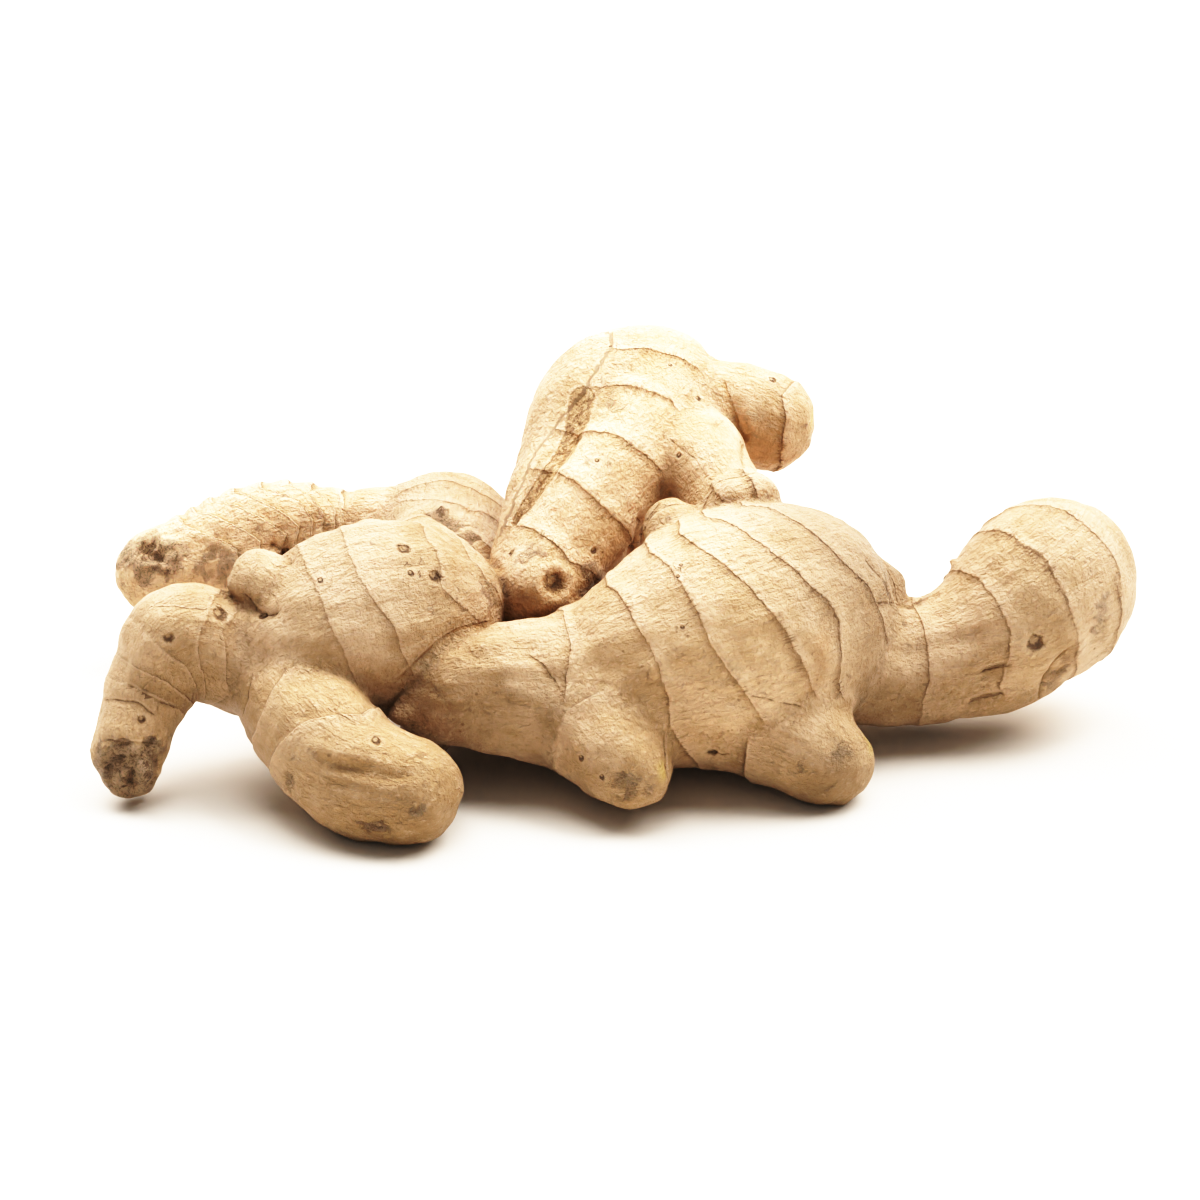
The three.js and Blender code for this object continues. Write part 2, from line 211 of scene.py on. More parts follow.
def noise(p, size, seed):
    """Smooth value noise in -1 to 1, with features about size mm across."""
    q = p / size + 37.0 + seed * 11.3
    i = np.floor(q).astype(np.int64)
    f = q - i
    f = f * f * (3 - 2 * f)
    total = 0
    for corner in range(8):
        c = np.array([corner & 1, corner >> 1 & 1, corner >> 2 & 1])
        k = i + c
        h = (k[:, 0] * 374761393 + k[:, 1] * 668265263 + k[:, 2] * 2147483647 + seed * 144665) & 0xFFFFFFFF
        h = ((h ^ (h >> 13)) * 1274126177) & 0xFFFFFFFF
        h = (h ^ (h >> 16)) & 0xFFFF
        w = np.prod(np.where(c, f, 1 - f), axis=1)
        total = total + w * (h / 32767.5 - 1)
    return total


class Lobe:
    """A row of spheres along a smooth axis, with a smooth hull round each two neighbours."""

    def __init__(self, name, spec):
        self.name, self.spec, self.blend, self.group = name, spec, spec["blend"], spec["group"]
        g = np.array(spec["girths"], float)
        ends = np.vstack([2 * g[0] - g[1], g, 2 * g[-1] - g[-2]])
        rows = []
        for i in range(len(g) - 1):
            a, b, c, d = ends[i:i + 4]
            t = (np.arange(SPINE_STEPS) / SPINE_STEPS)[:, None]
            rows.append(0.5 * (2 * b + (c - a) * t + (2 * a - 5 * b + 4 * c - d) * t ** 2
                               + (3 * b - a - 3 * c + d) * t ** 3))
        rows = np.vstack(rows + [g[-1:]])
        self.centre, self.radius = rows[:, :3], rows[:, 3]
        self.along = np.concatenate([[0], np.cumsum(np.linalg.norm(np.diff(self.centre, axis=0), axis=1))])
        self.length = self.along[-1]
        self.low = (self.centre - self.radius[:, None]).min(0)
        self.high = (self.centre + self.radius[:, None]).max(0)

    def near(self, p, margin):
        """Which points are in the lobe's box, widened by a margin."""
        return ((p > self.low - margin) & (p < self.high + margin)).all(1)

    def distance(self, p, want_along=False):
        """Distance to the lobe, negative inside, and the place along its axis if wanted."""
        best = np.full(len(p), 1e9)
        weight, along = np.zeros(len(p)), np.zeros(len(p))
        for i in range(len(self.centre) - 1):
            a, ab = self.centre[i], self.centre[i + 1] - self.centre[i]
            t = np.clip((p - a) @ ab / (ab @ ab), 0, 1)
            v = p - a - t[:, None] * ab
            d = np.sqrt((v * v).sum(1)) - (self.radius[i] + (self.radius[i + 1] - self.radius[i]) * t)
            best = np.minimum(best, d)
            if want_along:
                w = np.exp(-np.clip(d, -5, 30) / PLACE_SOFT)
                weight += w
                along += w * (self.along[i] + (self.along[i + 1] - self.along[i]) * t)
        return (best, along / weight) if want_along else best

    def coordinates(self, p):
        """For points near the skin: distance, place along the axis, angle round it and offset from it."""
        d, s = self.distance(p, True)
        at = lambda x: np.stack([np.interp(x, self.along, self.centre[:, k]) for k in range(3)], 1)
        held = np.clip(s, TANGENT_HALF, self.length - TANGENT_HALF)
        ahead = at(held + TANGENT_HALF) - at(held - TANGENT_HALF)
        ahead /= np.linalg.norm(ahead, axis=1)[:, None]
        up = np.array([0, 0, 1.0]) - ahead * ahead[:, 2:]
        up /= np.linalg.norm(up, axis=1)[:, None]
        side = np.cross(ahead, up)
        v = p - at(s)
        across = np.stack([(v * side).sum(1), (v * up).sum(1)], 1)
        return d, s + (v * ahead).sum(1), np.arctan2(across[:, 1], across[:, 0]), across


lobes = [Lobe(name, spec) for name, spec in LOBES.items()]


def soft_min(a, b, k):
    """The smaller of two distances, rounded off where they are within k of each other."""
    h = np.maximum(k - np.abs(a - b), 0) / k
    return np.minimum(a, b) - h * h * k / 4


def body(p):
    """Distance to the smooth body, negative inside."""
    total = None
    for group in ("left", "front", "upper"):
        joined = None
        for lobe in lobes:
            if lobe.group != group:
                continue
            d = np.full(len(p), FAR)
            m = lobe.near(p, FAR)
            if m.any():
                d[m] = lobe.distance(p[m])
            joined = d if joined is None else soft_min(joined, d, lobe.blend)
        total = joined if total is None else soft_min(total, joined, GROUP_BLEND)
    return total


def slope(p, h=0.05):
    """Outward direction of the body at points on or near its skin, and how steep the distance is there."""
    g = np.zeros_like(p)
    for e in np.array([(1, -1, -1), (-1, -1, 1), (-1, 1, -1), (1, 1, 1)], float):
        g += e * body(p + e * h)[:, None]
    size = np.linalg.norm(g, axis=1)
    return g / np.maximum(size, 1e-9)[:, None], size / (4 * h)


def surface(low, high, cell, coarse=4):
    """Surface nets over the body: one vertex in each cell that the skin passes, and quads between them."""
    n = np.ceil((high - low) / cell).astype(int)
    n = (n + coarse - 1) // coarse * coarse
    blocks = n // coarse
    axes = [low[i] + (np.arange(blocks[i]) + 0.5) * cell * coarse for i in range(3)]
    f = body(np.stack(np.meshgrid(*axes, indexing="ij"), -1).reshape(-1, 3))
    values = np.ones(n + 1, np.float32)
    inside = np.where(f < 0, -1.0, 1.0).reshape(blocks)
    values[:-1, :-1, :-1] = inside.repeat(coarse, 0).repeat(coarse, 1).repeat(coarse, 2)
    close = np.argwhere((np.abs(f) < cell * coarse * 1.25).reshape(blocks))
    offsets = np.stack(np.meshgrid(*[np.arange(coarse + 1)] * 3, indexing="ij"), -1).reshape(-1, 3)
    grid = np.unique((close[:, None] * coarse + offsets).reshape(-1, 3), axis=0)
    for i in range(0, len(grid), 200000):
        part = grid[i:i + 200000]
        values[tuple(part.T)] = body(low + part * cell)
    solid = values < 0
    corners = np.array([(a, b, c) for a in (0, 1) for b in (0, 1) for c in (0, 1)])
    count = sum(solid[a:n[0] + a, b:n[1] + b, c:n[2] + c].astype(np.int8) for a, b, c in corners)
    cells = np.argwhere((count > 0) & (count < 8))
    index = -np.ones(tuple(n), int)
    index[tuple(cells.T)] = np.arange(len(cells))
    total, crossings = np.zeros((len(cells), 3)), np.zeros(len(cells))
    for i in range(8):
        for j in range(i + 1, 8):
            if np.abs(corners[i] - corners[j]).sum() != 1:
                continue
            a, b = cells + corners[i], cells + corners[j]
            va, vb = values[tuple(a.T)].astype(float), values[tuple(b.T)].astype(float)
            m = (va < 0) != (vb < 0)
            t = np.where(m, va / np.where(m, va - vb, 1), 0)
            total += np.where(m[:, None], a + (b - a) * t[:, None], 0)
            crossings += m
    points = low + total / crossings[:, None] * cell
    quads = []
    for k in range(3):
        u, v = [x for x in range(3) if x != k]
        first, second = [slice(None)] * 3, [slice(None)] * 3
        first[k], second[k] = slice(0, -1), slice(1, None)
        edge = np.argwhere(solid[tuple(first)] != solid[tuple(second)])
        edge = edge[(edge[:, u] > 0) & (edge[:, v] > 0) & (edge[:, u] < n[u]) & (edge[:, v] < n[v])]

        def cell_at(du, dv):
            e = edge.copy()
            e[:, u] -= du
            e[:, v] -= dv
            return index[tuple(e.T)]

        quad = np.stack([cell_at(1, 1), cell_at(0, 1), cell_at(0, 0), cell_at(1, 0)], -1)
        starts_inside = solid[tuple(edge.T)]
        turn = starts_inside if k != 1 else ~starts_inside
        quad[~turn] = quad[~turn][:, ::-1]
        quads.append(quad)
    return points, np.vstack(quads)


def cast(pixels):
    """Where lines from the camera through these pixels first meet the body."""
    px = np.array(pixels, float)
    focal = CAMERA_AWAY / PX_SIZE
    ray = AHEAD + RIGHT * (px[:, :1] - FRAME_PX / 2) / focal + ABOVE * (FRAME_PX / 2 - px[:, 1:2]) / focal
    ray /= np.linalg.norm(ray, axis=1)[:, None]
    t = np.full(len(px), CAMERA_AWAY - RAY_START)
    for _ in range(RAY_STEPS):
        t = t + RAY_SHARE * np.clip(body(EYE + ray * t[:, None]), -4, 12)
    hit = EYE + ray * t[:, None]
    return hit, np.abs(body(hit)) < HIT


# ---- lines and spots that the skin carries ----
# Each crease: pixels that it passes, its half width and depth in mm, and its colour, dark or warm.
CREASES = [
    ([(404, 673), (421, 658), (441, 640), (462, 628), (488, 621)], 0.45, 0.5, "warm"),
    ([(251, 682), (246, 707)], 0.25, 0.3, "dark"),
    ([(133, 688), (149, 697), (160, 702), (172, 707)], 0.35, 0.5, "dark"),
    ([(110, 700), (128, 700), (142, 704), (149, 711)], 0.3, 0.4, "dark"),
    ([(112, 740), (126, 743), (142, 742), (151, 743)], 0.3, 0.4, "dark"),
    ([(160, 608), (176, 607), (195, 612), (211, 610)], 0.25, 0.3, "dark"),
    ([(335, 713), (349, 720)], 0.3, 0.3, "dark"),
    ([(246, 600), (256, 610), (264, 618), (272, 613)], 0.5, 1.2, "dark"),
    ([(276, 547), (287, 553), (290, 562)], 0.6, 1.1, "dark"),
    ([(424, 512), (440, 517), (456, 525), (470, 537), (480, 549)], 1.0, 1.2, "dark"),
    ([(533, 655), (548, 668), (556, 682)], 0.4, 0.5, "dark"),
    ([(664, 740), (666, 766)], 0.4, 0.5, "dark"),
    ([(759, 697), (768, 699)], 0.25, 0.2, "dark"),
    ([(788, 704), (798, 706)], 0.25, 0.2, "dark"),
    ([(712, 755), (722, 756)], 0.25, 0.2, "dark"),
    ([(987, 671), (1003, 667)], 0.6, 0.6, "dark"),
    ([(976, 701), (988, 697), (998, 696)], 0.8, 0.8, "dark"),
    ([(1040, 705), (1043, 682), (1052, 662), (1068, 650)], 0.35, 0.5, "warm"),
    ([(872, 560), (884, 574), (892, 590)], 0.4, 0.5, "dark"),
    ([(884, 562), (895, 576), (899, 592)], 0.35, 0.4, "dark"),
    ([(884, 604), (899, 602), (914, 601)], 0.6, 1.0, "dark"),
    ([(727, 389), (733, 406), (739, 426), (744, 446), (745, 462)], 0.6, 0.9, "warm"),
    ([(700, 510), (702, 494), (713, 481), (730, 474), (750, 470)], 0.4, 0.7, "dark"),
    ([(641, 540), (643, 524), (652, 511), (668, 503), (684, 502)], 0.3, 0.4, "dark"),
    ([(632, 552), (634, 538), (640, 522), (652, 506)], 0.5, 0.7, "dark"),
    ([(690, 455), (675, 443)], 0.25, 0.2, "dark"),
]
# Each eye: pixel, radius in mm, depth in mm.
EYES = [
    ((404, 549), 1.5, 0.9), ((411, 573), 0.8, 0.4), ((436, 576), 1.5, 0.9), ((444, 584), 1.3, 0.7),
    ((320, 581), 0.8, 0.3), ((220, 615), 1.7, 0.7), ((169, 638), 1.1, 0.6), ((142, 720), 1.0, 0.5),
    ((376, 741), 1.2, 0.5), ((288, 554), 1.1, 0.8), ((510, 552), 0.9, 0.5), ((594, 551), 0.8, 0.4),
    ((581, 758), 0.8, 0.4), ((603, 776), 0.6, 0.2), ((682, 627), 0.5, 0.3), ((678, 577), 0.5, 0.3),
    ((681, 566), 0.5, 0.3), ((712, 755), 1.2, 0.6), ((1035, 643), 2.0, 0.5), ((699, 398), 0.8, 0.4),
    ((610, 345), 0.5, 0.3), ((671, 364), 0.5, 0.2), ((678, 455), 0.7, 0.3), ((597, 461), 0.6, 0.2),
    ((772, 381), 0.9, 0.4), ((556, 583), 2.6, 2.0), ((261, 615), 1.1, 0.6),
]
# Each patch: middle pixel, half width and half height in pixels, strength.
PATCHES = {
    "corky": [((128, 772), 42, 38, 1.7), ((430, 513), 20, 9, 1.9), ((450, 520), 20, 9, 1.9),
        ((468, 532), 18, 9, 1.8), ((148, 556), 36, 34, 1.9), ((530, 553), 24, 18, 0.55),
        ((592, 572), 14, 16, 0.6), ((215, 566), 40, 20, 0.55), ((489, 598), 12, 30, 0.35),
        ((141, 700), 30, 12, 0.25), ((1056, 676), 18, 26, 0.6), ((1106, 612), 14, 24, 0.45),
        ((378, 828), 18, 8, 1.4), ((420, 812), 14, 9, 0.6), ((293, 782), 12, 12, 0.5),
        ((840, 754), 16, 14, 0.5), ((628, 788), 22, 16, 0.5), ((915, 603), 12, 6, 0.6),
        ((611, 408), 20, 16, 0.35), ((890, 585), 12, 20, 0.6)],
    "grey": [((838, 752), 20, 18, 0.7), ((528, 690), 32, 26, 0.35), ((430, 665), 28, 18, 0.5),
        ((755, 425), 22, 28, 0.7), ((724, 670), 22, 14, 0.6), ((816, 608), 22, 14, 0.6),
        ((650, 680), 30, 40, 0.2), ((860, 690), 30, 30, 0.35), ((560, 640), 22, 40, 0.18)],
    "fresh": [((870, 745), 7, 12, 1.0), ((661, 772), 7, 12, 1.0), ((813, 419), 6, 14, 0.7)],
    # orange: the torn tip at the knob's end is the skin's own colour; the others are painted shade, on the
    # shaded right side of the front lobe, left of the hole in the upper lobe's foot and in that hole
    "warm": [((1056, 674), 16, 24, 0.55), ((820, 664), 14, 36, 0.6), ((520, 600), 18, 28, 0.5),
        ((556, 585), 12, 14, 0.8)],
}
# Each dent: middle pixel, half length and half width in pixels, turn in degrees, depth in mm.
DENTS = [
    ((352, 768), 30, 9, 8, 1.9), ((345, 787), 36, 7, 12, 0.9), ((396, 776), 26, 7, -8, 1.0),
    ((330, 752), 26, 6, 14, -0.5), ((404, 800), 14, 10, 30, 0.5), ((430, 690), 34, 6, 20, 0.6),
    ((470, 655), 26, 5, 24, 0.5), ((452, 712), 30, 6, 14, 0.5), ((520, 705), 26, 6, 18, 0.5),
    ((500, 650), 26, 6, 10, -0.5), ((545, 690), 8, 26, 8, 0.5), ((650, 668), 14, 12, 0, -0.6),
    ((724, 672), 16, 12, 0, 0.5), ((300, 700), 9, 34, -16, 0.7), ((262, 660), 7, 30, 4, 0.8),
    ((242, 640), 10, 24, -6, 0.7), ((190, 655), 22, 12, 10, 0.6), ((150, 650), 14, 18, 0, -0.7),
    ((905, 650), 26, 7, -6, 0.5), ((1046, 596), 24, 12, 60, -0.5), ((1096, 640), 12, 20, -20, 0.7),
    ((980, 640), 14, 20, 0, 0.5), ((540, 470), 8, 30, 24, -0.5), ((760, 420), 16, 22, 0, 0.5),
    ((610, 405), 20, 12, 0, 0.4), ((640, 760), 22, 12, 30, -0.4),
    ((826, 742), 22, 16, 0, 0.5), ((300, 600), 22, 12, -30, -0.5), ((957, 565), 4, 4, 0, -1.5),
    ((450, 520), 24, 8, 30, 1.6), ((464, 547), 24, 9, 36, 1.4), ((402, 699), 9, 3, -45, -1.0),
    ((407, 716), 9, 9, 0, -2.2), ((400, 711), 8, 8, 0, -2.0),
]
# The groove up the side of the upper lobe, from its top.
GROOVE = [(581, 396), (579, 412), (572, 435), (563, 458), (542, 485), (526, 504), (514, 520)]

BACK_EYES, BACK_PATCHES = 16, 12     # how many a seeded draw puts on the side that the photo hides
STEEP_TRACE = (2.4, 3.6)             # a ring that runs more steeply than this along its lobe fades out
LIP_HEIGHT, DIP_DEPTH = 0.42, 0.18   # at a ring: rise of the scale's edge, and dip of the skin before it
GROOVE_WIDE, GROOVE_DEEP = (2.9, 1.3), 1.1       # half width at the groove's two ends, and its depth
LUMPS = ((13, 0.75, 7), (5, 0.4, 8), (2.3, 0.2, 9))     # low relief: size, height and seed
ALONG_GRAIN = np.array([1, 1, 0.2])  # stretches noise along a lobe
TOP_PAINTED_LIGHT = 0.22                   # painted light: how much lighter the skin's colour is made on upward faces


def ring_line(lobe, place, pixels):
    """A ring's place along the axis for any angle: through its pixels, and elsewhere as it is in the CAD."""
    lean = lobe.spec.get("lean", (0, 0))
    share = place / lobe.length
    lean = lean[0] * (1 - share) + lean[1] * share
    reach = np.interp(place, lobe.along, lobe.radius)
    plain = lambda angle: place - lean * reach * np.sin(angle)
    if not pixels:
        return plain
    hit, good = cast(pixels)
    d, axial, angle, _ = lobe.coordinates(hit)
    good &= d < 4
    if good.sum() < 2:
        print("ring without a trace", lobe.name, place)
        return plain
    angle, axial = angle[good], axial[good]
    middle = math.atan2(np.sin(angle).mean(), np.cos(angle).mean())
    turn = (angle - middle + math.pi) % (2 * math.pi) - math.pi
    order = np.argsort(turn)
    turn, axial = turn[order], axial[order]
    shift = (axial - plain(turn + middle)).mean()
    gap = 2 * math.pi - (turn[-1] - turn[0])
    far = turn[-1] + gap * np.array([0.3, 0.5, 0.7])
    turn = np.concatenate([turn, far])
    axial = np.concatenate([axial, plain(far + middle) + shift * np.array([0.5, 0.3, 0.5])])
    return lambda a: np.interp(a - middle, turn, axial, period=2 * math.pi)


def line_places(pixels):
    """Points on the skin about a millimetre apart along a line of pixels."""
    px = np.array(pixels, float)
    run = np.concatenate([[0], np.cumsum(np.linalg.norm(np.diff(px, axis=0), axis=1))])
    t = np.linspace(0, run[-1], max(int(run[-1] * PX_SIZE) + 1, 2))
    line = np.stack([np.interp(t, run, px[:, 0]), np.interp(t, run, px[:, 1])], 1)
    for _ in range(4):
        line[1:-1] = (line[:-2] + 2 * line[1:-1] + line[2:]) / 4
    hit, good = cast(line)
    return hit[good]


# ---- the skin ----
LOW, HIGH = np.array(CAD_LOW) * 1000, np.array(CAD_HIGH) * 1000
points, quads = surface(LOW - ROOM, HIGH + ROOM, CELL)
edges = np.vstack([quads[:, [i, (i + 1) % 4]] for i in range(4)])
edges = np.unique(np.sort(edges, axis=1), axis=0)
neighbours = np.bincount(edges.ravel(), minlength=len(points))[:, None]


def average(values):
    """Each point's value replaced by the mean of its neighbours'."""
    total = np.zeros_like(values)
    np.add.at(total, edges[:, 0], values[edges[:, 1]])
    np.add.at(total, edges[:, 1], values[edges[:, 0]])
    return total / neighbours


# even the mesh out, and put it back on the body each time
for _ in range(3):
    points = points + 0.6 * (average(points) - points)
    out, steep = slope(points)
    points = points - out * (body(points) / np.maximum(steep, 0.4))[:, None]
normals, _ = slope(points, 0.5)
count = len(points)
print("skin", count, "points", len(quads), "faces")

# which lobe a point belongs to, its share in the others, and where the rings run
distances = np.full((count, len(lobes)), FAR + 3)
for k, lobe in enumerate(lobes):
    m = lobe.near(points, FAR)
    distances[m, k] = lobe.distance(points[m])
claims = distances + [lobe.spec.get("yields", 0) for lobe in lobes]
owner = claims.argmin(1)
apart = np.sort(claims, axis=1)[:, 1] - claims.min(1)
nearest = distances.min(1)
second = np.sort(distances, axis=1)[:, 1] - nearest
ring, ring_gap, ring_shows = np.zeros(count), np.full(count, END_GAP), np.zeros(count)
height, flow, gold, tone_and_painted_light = np.zeros(count), np.zeros((count, 3)), np.zeros(count), np.zeros(count)
weight = np.exp(-np.clip(distances - nearest[:, None], 0, 12) / 0.8)
weight /= weight.sum(1)[:, None]
for k, lobe in enumerate(lobes):
    m = weight[:, k] > 0.02
    _, axial, angle, across = lobe.coordinates(points[m])
    mine = owner[m] == k
    index = np.flatnonzero(m)[mine]
    flow[index] = np.stack([across[mine, 0], across[mine, 1], axial[mine]], 1) + k * 7.0
    first, last = lobe.spec.get("gold", (0.1, 0.1))
    gold[m] += weight[m, k] * (first + (last - first) * step(axial / lobe.length, 0.2, 1.1))
    # the lobe's tone along its axis, partly its own paleness and partly painted light and shade
    tones_and_painted_light = lobe.spec["tone_and_painted_light"]
    tone_and_painted_light[m] += weight[m, k] * np.interp(axial / lobe.length, np.linspace(0, 1, len(tones_and_painted_light)), tones_and_painted_light)
    rings = lobe.spec["rings"]
    if not rings:
        continue
    wobble = 0.5 * noise(points[m], 7, 1) + 0.2 * noise(points[m], 2.2, 2)
    traced = [ring_line(lobe, place, pixels) for place, pixels in rings]
    lines = np.sort([line(angle) for line in traced], axis=0)
    steep = np.abs(np.sort([line(angle + 0.05) for line in traced], axis=0) - lines) / 0.05
    lines = np.vstack([lines[:1] - END_GAP, lines, lines[-1:] + END_GAP]) - wobble
    i = np.clip((axial >= lines).sum(0) - 1, 0, len(rings))
    column = np.arange(len(i))
    gap = np.maximum(lines[i + 1, column] - lines[i, column], 1.0)
    phase = i + (axial - lines[i, column]) / gap
    x = (phase - np.round(phase)) * gap
    shows = step(phase, 0.6, 0.75) * (1 - step(phase, len(rings) + 0.25, len(rings) + 0.4))
    nearest_ring = np.clip(np.round(phase).astype(int) - 1, 0, len(rings) - 1)
    steep = steep[nearest_ring, column] / np.interp(axial, lobe.along, lobe.radius)
    shows = lobe.spec.get("bold", 1) * shows * (1 - step(steep, *STEEP_TRACE))
    lip = step(x, -0.45, 0.4) * (1 - step(x, 0.4, 4.0))
    dip = step(x, -3.5, -0.6) * (1 - step(x, -0.6, 0.2))
    edge = shows * (LIP_HEIGHT * lip - DIP_DEPTH * dip) * (0.8 + 0.3 * noise(points[m], 9, 3))
    height[m] += lobe.spec.get("lip", 1) * weight[m, k] * edge
    ring[index], ring_gap[index], ring_shows[index] = phase[mine], gap[mine], shows[mine]
# patterns that follow one lobe fade out at its border with the next
border = edges[owner[edges[:, 0]] != owner[edges[:, 1]]].ravel()
calm = np.minimum(step(second, 0.8, 3.0), step(apart, 0.8, 3.0))
calm[border] = 0
ring_shows *= step(apart, 0.2, 1.2)
ring_shows[border] = 0
# painted shade in crevices: places where the body is still close a little way off the skin
crevice_shade = np.clip(1 - body(points + normals * 2.6) / 2.5, 0, 1)
crevice_shade = step(average(crevice_shade[:, None])[:, 0], 0.3, 1.0)

# lengthwise wrinkles, lumps and small dents
height += 0.45 * calm * noise(flow * ALONG_GRAIN, 2.6, 5) * step(noise(points, 22, 6), -0.5, 0.6)
height += sum(high * noise(points, size, seed) for size, high, seed in LUMPS)

# creases: signed distance across each line, crisp when it is drawn
crack, crack_shows, crack_warm = np.full(count, 9.0), np.zeros(count), np.zeros(count)
for pixels, half, deep, kind in CREASES:
    line = line_places(pixels)
    if len(line) < 2:
        print("crease not on the skin", pixels[0])
        continue
    gap = np.linalg.norm(points - line.mean(0), axis=1)
    near = np.flatnonzero(gap < np.linalg.norm(line[-1] - line[0]) + 8)
    to = np.linalg.norm(points[near][:, None] - line[None], axis=2)
    i = to.argmin(1)
    ahead = np.gradient(line, axis=0)[i]
    ahead /= np.linalg.norm(ahead, axis=1)[:, None]
    v = points[near] - line[i]
    across = np.cross(normals[near], ahead)
    away = (v * across).sum(1)
    beyond = np.linalg.norm(v - away[:, None] * across, axis=1)
    away = away + 0.25 * noise(points[near], 2.5, 11)
    shows = (1 - step(beyond, 0.8, 2.0)) * (1 - step(np.abs(away), 2.0, 3.5))
    height[near] -= deep * shows * np.exp(-(away / (half * 2.2)) ** 2)
    before = np.abs(crack[near]) / np.maximum(crack_shows[near], 0.02)
    closer = np.abs(away) / np.maximum(shows, 0.02) < before
    pick = near[closer]
    crack[pick] = (away / half / 0.65)[closer]
    crack_shows[pick] = shows[closer]
    crack_warm[pick] = 1.0 if kind == "warm" else 0.0
crack = np.clip(crack, -9, 9)

# eyes: position across each spot in radii, and how much of it shows
eye = np.zeros((count, 3))


def add_eye(place, radius, deep):
    """A bud eye: a pit with a low rim."""
    near = np.flatnonzero(np.linalg.norm(points - place, axis=1) < radius * 4 + 2)
    if not len(near):
        return
    i = near[np.linalg.norm(points[near] - place, axis=1).argmin()]
    n = normals[i]
    u = np.cross(n, [0.3, 0.2, 1.0])
    u /= np.linalg.norm(u)
    w = np.cross(n, u)
    v = points[near] - place
    a, b = v @ u / radius, v @ w / radius
    r = np.sqrt(a * a + b * b)
    level = np.abs(v @ n) < radius * 4
    rim, pit = np.exp(-((r - 1.4) / 0.5) ** 2), np.exp(-(r / 0.9) ** 2)
    height[near] += deep * (0.3 * rim - pit) * level
    shows = (1 - step(r, 2.2, 3.2)) * level
    back = shows > eye[near, 2]
    eye[near[back]] = np.stack([a, b, shows], 1)[back]


spots, good = cast([e[0] for e in EYES])
for (pixel, radius, deep), spot, ok in zip(EYES, spots, good):
    if ok:
        add_eye(spot, radius, deep)
    else:
        print("eye not on the skin", pixel)
rng = np.random.default_rng(7)
behind = np.flatnonzero((normals @ AHEAD > 0.25) & (second > 4) & (points[:, 2] > 8))
for i in rng.choice(behind, BACK_EYES, replace=False):
    add_eye(points[i], rng.uniform(0.5, 1.4), rng.uniform(0.2, 0.7))

# patches: corky scars, grey skin, fresh yellow skin, and orange patches that are partly the skin's own colour
# and partly painted shade
masks = {kind: np.zeros(count) for kind in PATCHES}
fray, fine_fray = 0.4 * noise(points, 3.5, 13), 0.25 * noise(points, 1.7, 14)
for kind, patches in PATCHES.items():
    spots, good = cast([p[0] for p in patches])
    for (pixel, wide, tall, strength), spot, ok in zip(patches, spots, good):
        if not ok:
            print("patch not on the skin", pixel)
            continue
        v = points - spot
        r = np.sqrt((v @ RIGHT / wide / PX_SIZE) ** 2 + (v @ ABOVE / tall / PX_SIZE) ** 2
                    + (v @ AHEAD / (wide + tall) * 2 / PX_SIZE) ** 2)
        r = r + fray + fine_fray
        masks[kind] = np.maximum(masks[kind], strength * (1 - step(r, 0.3, 1.3)))
for i, kind in zip(rng.choice(behind, BACK_PATCHES, replace=False), ["corky", "grey"] * (BACK_PATCHES // 2)):
    r = np.linalg.norm((points - points[i]) / rng.uniform(3, 8, 3), axis=1) + 0.3 * noise(points, 3.5, 15)
    masks[kind] = np.maximum(masks[kind], rng.uniform(0.4, 0.8) * (1 - step(r, 0.6, 1.1)))
height += masks["corky"] ** 1.5 * (0.7 * noise(points, 3.6, 15) + 0.9 * noise(points, 2.1, 16) - 0.35)

# dents and swellings
spots, good = cast([d[0] for d in DENTS])
for (pixel, long, wide, turned, deep), spot, ok in zip(DENTS, spots, good):
    if not ok:
        print("dent not on the skin", pixel)
        continue
    v = points - spot
    x, y = v @ RIGHT / PX_SIZE, -(v @ ABOVE) / PX_SIZE
    c, d = math.cos(math.radians(turned)), math.sin(math.radians(turned))
    r = (((x * c + y * d) / long) ** 2 + ((y * c - x * d) / wide) ** 2
         + (v @ AHEAD / PX_SIZE / (long + wide)) ** 2)
    height -= deep * np.exp(-1.2 * r)

# the fibrous groove up the side of the upper lobe
groove = line_places(GROOVE)
to = np.linalg.norm(points[:, None, :] - groove[None], axis=2)
i = to.argmin(1)
furrow = np.exp(-(to.min(1) / np.linspace(*GROOVE_WIDE, len(groove))[i]) ** 2)
height -= GROOVE_DEEP * furrow
height += 0.5 * furrow * noise(flow * ALONG_GRAIN, 1.2, 17)
# the groove gets painted shade too
crevice_shade = np.maximum(crevice_shade, 0.75 * furrow)

points = points + normals * (height * step(second + 1.2, 0.2, 2.0) * 0.9 + 0.1 * height)[:, None]
points = np.clip(points, LOW + INSIDE, HIGH - INSIDE)


def new_mesh(name, verts, faces, smooth=True):
    """An object in the scene, from corners in millimetres."""
    mesh = bpy.data.meshes.new(name)
    mesh.from_pydata((np.asarray(verts) / 1000).tolist(), [], np.asarray(faces).tolist())
    mesh.polygons.foreach_set("use_smooth", [smooth] * len(mesh.polygons))
    mesh.update()
    obj = bpy.data.objects.new(name, mesh)
    bpy.context.scene.collection.objects.link(obj)
    return obj


def keep(obj, name, values):
    """Stores a number or a vector for each point of the mesh, for the material to read."""
    values = np.asarray(values, np.float32)
    vector = values.ndim == 2
    layer = obj.data.attributes.new(name, "FLOAT_VECTOR" if vector else "FLOAT", "POINT")
    layer.data.foreach_set("vector" if vector else "value", values.ravel())


